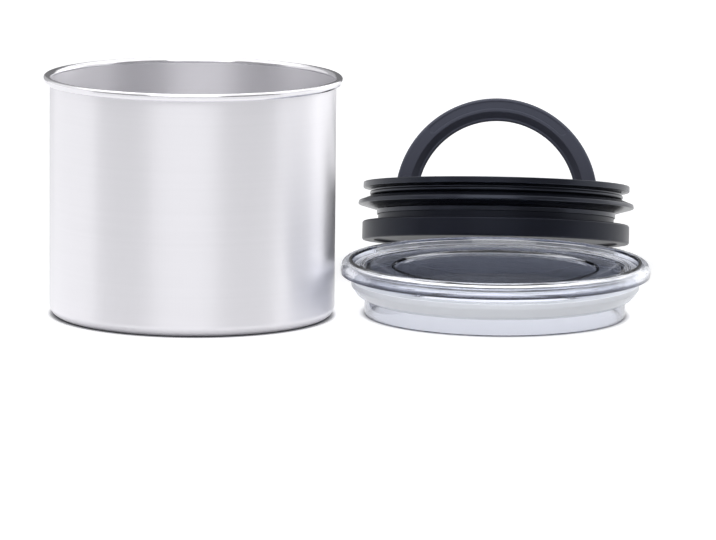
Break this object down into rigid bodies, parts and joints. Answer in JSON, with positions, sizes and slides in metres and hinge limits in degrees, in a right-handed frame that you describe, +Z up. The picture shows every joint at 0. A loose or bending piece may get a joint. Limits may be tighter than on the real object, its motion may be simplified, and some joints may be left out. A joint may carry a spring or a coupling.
{
  "type": "coffee canister with valve",
  "caption": "Open steel canister with its clear press-in lid beside it and a black sliding inner lid that leans on that lid, with a folding bail handle that works an air valve.",
  "frame": {"origin": "centre of the canister's base on the floor", "axes": "+Z up along the canister's axis, +X from the canister to the clear lid beside it, +Y away from the viewer, towards the leaning inner lid"},
  "size_m": [0.2617, 0.2478, 0.1016],
  "materials": {
    "steel": "fine horizontal brushing, satin",
    "clear_plastic": "clear, polished",
    "clear_silicone": "translucent, satin",
    "black_plastic": "fine satin",
    "black_silicone": "satin",
    "handle_plastic": "satin",
    "grey_silicone": "satin",
    "white_plastic": "satin",
    "spring_steel": "bright"
  },
  "bodies": {
    "canister": {"canister_body": "steel"},
    "clear_lid": {"lid_shell": "clear_plastic", "lid_gasket": "clear_silicone"},
    "inner_lid": {"inner_lid_base": "black_plastic", "inner_lid_top": "black_plastic", "upper_lip_seal": "black_silicone", "lower_fin_seal": "black_silicone", "valve_cap": "black_plastic", "valve_screen": "black_plastic", "valve_spring": "spring_steel"},
    "handle": {"handle": "handle_plastic"},
    "valve": {"valve_lifter": "black_plastic", "valve_stem": "white_plastic", "valve_disc": "grey_silicone", "stem_screw": "spring_steel"}
  },
  "joints": [
    {"name": "lid_lift", "type": "slide", "parent": "canister", "child": "clear_lid", "axis": [0, 0, 1], "range_m": [0, 0.06]},
    {"name": "inner_lid_lift", "type": "slide", "parent": "clear_lid", "child": "inner_lid", "axis": [0, 0, 1], "range_m": [0, 0.06]},
    {"name": "handle_fold", "type": "hinge", "parent": "inner_lid", "child": "handle", "pos_m": [0.13736, 0.12227, 0.03067], "axis": [-0.9954, 0.0958, 0], "range_deg": [0, 90]},
    {"name": "valve_lift", "type": "slide", "parent": "inner_lid", "child": "valve", "axis": [0.0196, 0.2033, 0.9789], "range_m": [-0.0018, 0], "deforming": ["valve_spring"]}
  ],
  "couplings": [
    {"joint": "valve_lift", "follows": "handle_fold", "m_per_rad": -0.0011459}
  ]
}
